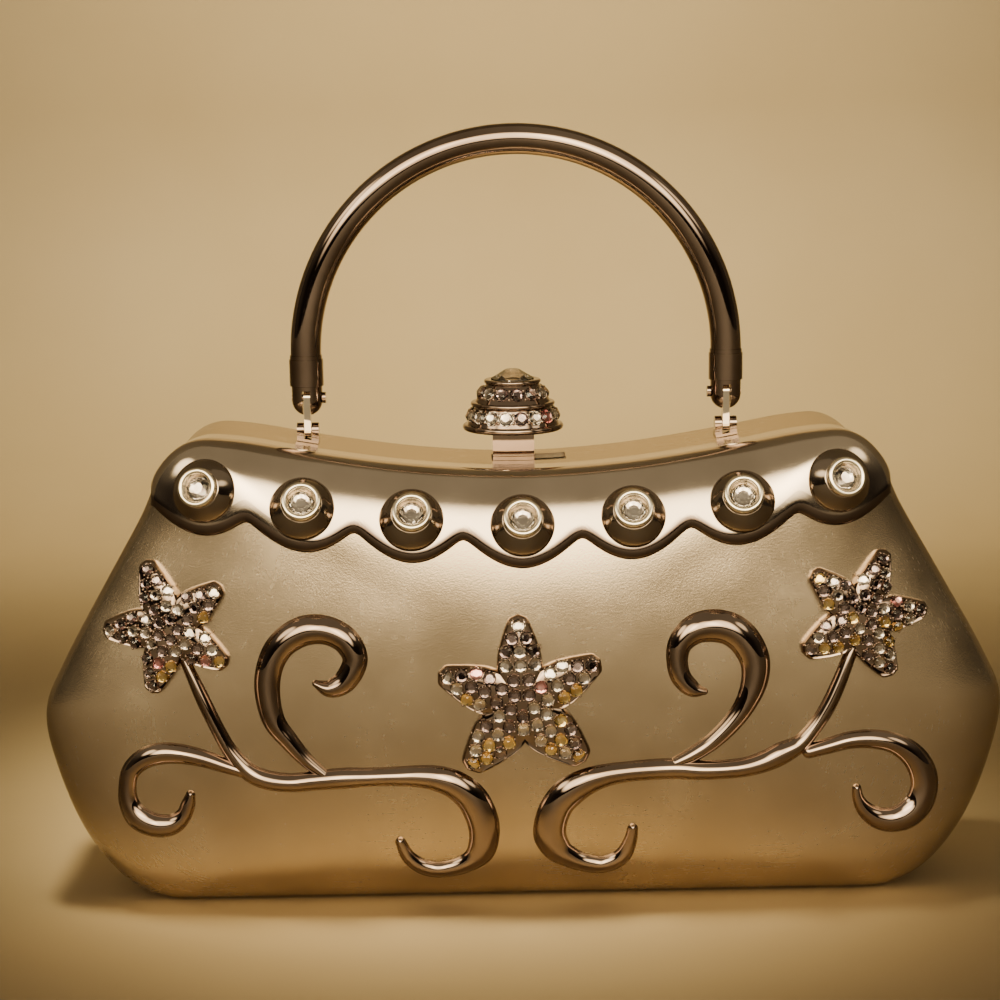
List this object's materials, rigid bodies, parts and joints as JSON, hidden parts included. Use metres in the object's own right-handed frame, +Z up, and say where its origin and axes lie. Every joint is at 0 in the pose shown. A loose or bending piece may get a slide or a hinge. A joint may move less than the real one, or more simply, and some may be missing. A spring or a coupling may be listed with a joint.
{
  "type": "minaudiere",
  "caption": "Hard-shell evening clutch with a scalloped border, crystal-set stars and scroll reliefs, a sliding crystal knob clasp and a hooped swing handle.",
  "frame": {"origin": "centre of the base under the closed case", "axes": "+X to the case's right as seen from its decorated front, +Y towards the back half, +Z up through the handle"},
  "size_m": [0.1904, 0.0551, 0.153],
  "materials": {
    "satin_nickel": "satin",
    "polished_nickel": "mirror polished",
    "crystal": "faceted, clear",
    "lining_satin": "matt woven",
    "spring_steel": "bright wire"
  },
  "bodies": {
    "back_case": {"back_shell": "satin_nickel", "back_frame": "polished_nickel", "back_lining": "lining_satin", "hinge_leaf_back": "polished_nickel", "hinge_pin": "polished_nickel", "lug_left": "polished_nickel", "lug_right": "polished_nickel", "lug_pins": "polished_nickel", "clasp_guide": "polished_nickel", "clasp_spring": "spring_steel"},
    "front_case": {"front_shell": "satin_nickel", "front_frame": "polished_nickel", "front_lining": "lining_satin", "scallop_border": "polished_nickel", "bezel_cups": "polished_nickel", "bezel_crystals": "crystal", "scroll_left": "polished_nickel", "scroll_right": "polished_nickel", "star_left": "polished_nickel", "star_centre": "polished_nickel", "star_right": "polished_nickel", "star_left_crystals": "crystal", "star_centre_crystals": "crystal", "star_right_crystals": "crystal", "hinge_leaf_front": "polished_nickel", "striker": "polished_nickel"},
    "clasp": {"clasp_slide": "polished_nickel", "knob_screw": "polished_nickel", "knob_stem": "polished_nickel", "knob_dome": "polished_nickel", "knob_lower_crystals": "crystal", "knob_upper_crystals": "crystal", "knob_crown_crystal": "crystal"},
    "link_left": {"link_left": "polished_nickel"},
    "link_right": {"link_right": "polished_nickel"},
    "handle": {"handle_tube": "polished_nickel", "ferrule_left": "polished_nickel", "ferrule_right": "polished_nickel", "fork_left": "polished_nickel", "fork_right": "polished_nickel", "fork_pins": "polished_nickel"}
  },
  "joints": [
    {"name": "front_open", "type": "hinge", "parent": "back_case", "child": "front_case", "pos_m": [0, 0, 0.00165], "axis": [1, 0, 0], "range_deg": [0, 80]},
    {"name": "clasp_travel", "type": "slide", "parent": "back_case", "child": "clasp", "axis": [1, 0, 0], "range_m": [0, 0.0062], "stiffness_N_per_m": 300, "springref_m": -0.002, "deforming": ["clasp_spring"]},
    {"name": "link_left_swing", "type": "hinge", "parent": "back_case", "child": "link_left", "pos_m": [-0.0429, 0.009, 0.09202], "axis": [1, 0, 0], "range_deg": [-55, 55]},
    {"name": "link_right_swing", "type": "hinge", "parent": "back_case", "child": "link_right", "pos_m": [0.0423, 0.009, 0.09202], "axis": [1, 0, 0], "range_deg": [-55, 55]},
    {"name": "handle_swing", "type": "hinge", "parent": "link_left", "child": "handle", "pos_m": [-0.0429, 0.009, 0.09862], "axis": [1, 0, 0], "range_deg": [-35, 35]}
  ],
  "couplings": [
    {"joint": "link_right_swing", "follows": "link_left_swing", "ratio": 1}
  ]
}
